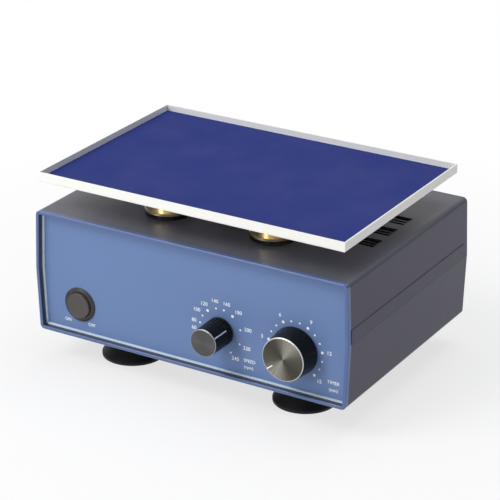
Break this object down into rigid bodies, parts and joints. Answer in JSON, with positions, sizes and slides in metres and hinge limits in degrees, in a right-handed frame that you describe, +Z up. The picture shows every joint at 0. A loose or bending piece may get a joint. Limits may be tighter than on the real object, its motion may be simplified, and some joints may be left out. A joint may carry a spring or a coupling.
{
  "type": "orbital shaker",
  "caption": "Bench orbital shaker: a belt-driven crank swings a matted tray in a circle above a case with a power button, a speed knob and a timer knob.",
  "frame": {"origin": "middle of the whole object's bounding box, on the bench under the feet", "axes": "+Z up, +X to the right as seen from the front, -Y towards the front panel"},
  "size_m": [0.3336, 0.2564, 0.1884],
  "materials": {
    "case": "fine-textured moulded grey plastic, satin",
    "bezel": "smooth dark blue plastic",
    "front_panel": "blue printed panel, satin, with a pale border line and white dial marks",
    "rear_panel": "powder coat, matt",
    "black_rubber": "matt moulded rubber",
    "belt_rubber": "matt fabric-backed rubber",
    "mat_rubber": "deep blue, matt, non-slip",
    "tray_paint": "cream white powder coat, satin",
    "fastener_steel": "zinc plated, satin",
    "chassis_steel": "zinc plated sheet",
    "shaft_steel": "ground and polished",
    "bearing_steel": "polished races with dark shields",
    "hub_brass": "turned brass, satin",
    "weight_iron": "machined plate",
    "cast_aluminium": "turned aluminium, satin",
    "motor_paint": "black enamel",
    "core_steel": "varnished laminations",
    "coil_tape": "amber insulating tape",
    "board_laminate": "green solder mask",
    "switch_plastic": "brown-grey moulded plastic",
    "button_plastic": "grey-brown moulded plastic",
    "knob_plastic": "black, smooth",
    "cap_aluminium": "spun face with a bright bevelled edge",
    "dark_cap": "dark anodised face with a bright bevelled edge",
    "control_body": "plain plated can",
    "inlet_plastic": "black moulded plastic",
    "spring_steel": "bright spring wire"
  },
  "bodies": {
    "base": {"bushing_nuts": "fastener_steel", "button_spring": "spring_steel", "case_screws": "fastener_steel", "chassis_pillars": "fastener_steel", "chassis_plate": "chassis_steel", "chassis_screws": "fastener_steel", "control_board": "board_laminate", "crank_seals": "black_rubber", "drive_belt": "belt_rubber", "foot_screws": "fastener_steel", "front_bezel": "bezel", "front_panel": "front_panel", "fuse_drawer": "inlet_plastic", "idler_bearing_housings": "cast_aluminium", "idler_bearings": "bearing_steel", "inlet_blades": "shaft_steel", "inlet_screws": "fastener_steel", "lower_case": "case", "main_bearing_housing": "cast_aluminium", "main_bearings": "bearing_steel", "motor": "motor_paint", "motor_bracket": "chassis_steel", "mounting_screws": "fastener_steel", "power_inlet": "inlet_plastic", "power_switch": "switch_plastic", "rear_panel": "rear_panel", "speed_control": "control_body", "suction_feet": "black_rubber", "timer_unit": "control_body", "transformer_coil": "coil_tape", "transformer_core": "core_steel", "upper_case": "case"},
    "drive_crank": {"drive_crank": "hub_brass", "main_shaft": "shaft_steel", "drive_pin": "shaft_steel", "counterweight": "weight_iron", "driven_pulley": "cast_aluminium"},
    "motor_rotor": {"motor_shaft": "shaft_steel", "motor_pulley": "cast_aluminium"},
    "tray": {"tray_pan": "tray_paint", "tray_mat": "mat_rubber", "tray_bearing_cups": "cast_aluminium", "tray_bearings": "bearing_steel", "tray_screws": "fastener_steel"},
    "speed_knob": {"speed_knob": "knob_plastic", "speed_knob_cap": "dark_cap", "speed_spindle": "shaft_steel"},
    "timer_knob": {"timer_knob": "knob_plastic", "timer_knob_cap": "cap_aluminium", "timer_spindle": "shaft_steel"},
    "power_button": {"power_button": "button_plastic"},
    "idler_crank_front_left": {"idler_hub_front_left": "hub_brass", "idler_pins_front_left": "shaft_steel"},
    "idler_crank_front_right": {"idler_hub_front_right": "hub_brass", "idler_pins_front_right": "shaft_steel"},
    "idler_crank_rear_left": {"idler_hub_rear_left": "hub_brass", "idler_pins_rear_left": "shaft_steel"},
    "idler_crank_rear_right": {"idler_hub_rear_right": "hub_brass", "idler_pins_rear_right": "shaft_steel"}
  },
  "joints": [
    {"name": "drive_spin", "type": "hinge", "parent": "base", "child": "drive_crank", "pos_m": [0, 0.01385, 0.15], "axis": [0, 0, 1], "continuous": true},
    {"name": "idler_spin_front_left", "type": "hinge", "parent": "base", "child": "idler_crank_front_left", "pos_m": [-0.056, -0.04665, 0.15], "axis": [0, 0, 1], "continuous": true},
    {"name": "idler_spin_front_right", "type": "hinge", "parent": "base", "child": "idler_crank_front_right", "pos_m": [0.056, -0.04665, 0.15], "axis": [0, 0, 1], "continuous": true},
    {"name": "idler_spin_rear_left", "type": "hinge", "parent": "base", "child": "idler_crank_rear_left", "pos_m": [-0.056, 0.07435, 0.15], "axis": [0, 0, 1], "continuous": true},
    {"name": "idler_spin_rear_right", "type": "hinge", "parent": "base", "child": "idler_crank_rear_right", "pos_m": [0.056, 0.07435, 0.15], "axis": [0, 0, 1], "continuous": true},
    {"name": "motor_spin", "type": "hinge", "parent": "base", "child": "motor_rotor", "pos_m": [-0.105, 0.01385, 0.092], "axis": [0, 0, 1], "continuous": true},
    {"name": "tray_swivel", "type": "hinge", "parent": "drive_crank", "child": "tray", "pos_m": [0, 0.00385, 0.1735], "axis": [0, 0, 1], "continuous": true},
    {"name": "power_press", "type": "slide", "parent": "base", "child": "power_button", "axis": [0, 1, 0], "range_m": [0, 0.0025], "stiffness_N_per_m": 400, "springref_m": -0.003, "deforming": ["button_spring"]},
    {"name": "speed_turn", "type": "hinge", "parent": "base", "child": "speed_knob", "pos_m": [0.032, -0.11, 0.0721], "axis": [0, 1, 0], "range_deg": [-210, 90]},
    {"name": "timer_turn", "type": "hinge", "parent": "base", "child": "timer_knob", "pos_m": [0.1094, -0.105, 0.0724], "axis": [0, 1, 0], "range_deg": [-7, 263]}
  ],
  "couplings": [
    {"joint": "idler_spin_front_left", "follows": "drive_spin", "ratio": 1},
    {"joint": "idler_spin_front_right", "follows": "drive_spin", "ratio": 1},
    {"joint": "idler_spin_rear_left", "follows": "drive_spin", "ratio": 1},
    {"joint": "idler_spin_rear_right", "follows": "drive_spin", "ratio": 1},
    {"joint": "motor_spin", "follows": "drive_spin", "ratio": 4},
    {"joint": "tray_swivel", "follows": "drive_spin", "ratio": -1}
  ]
}
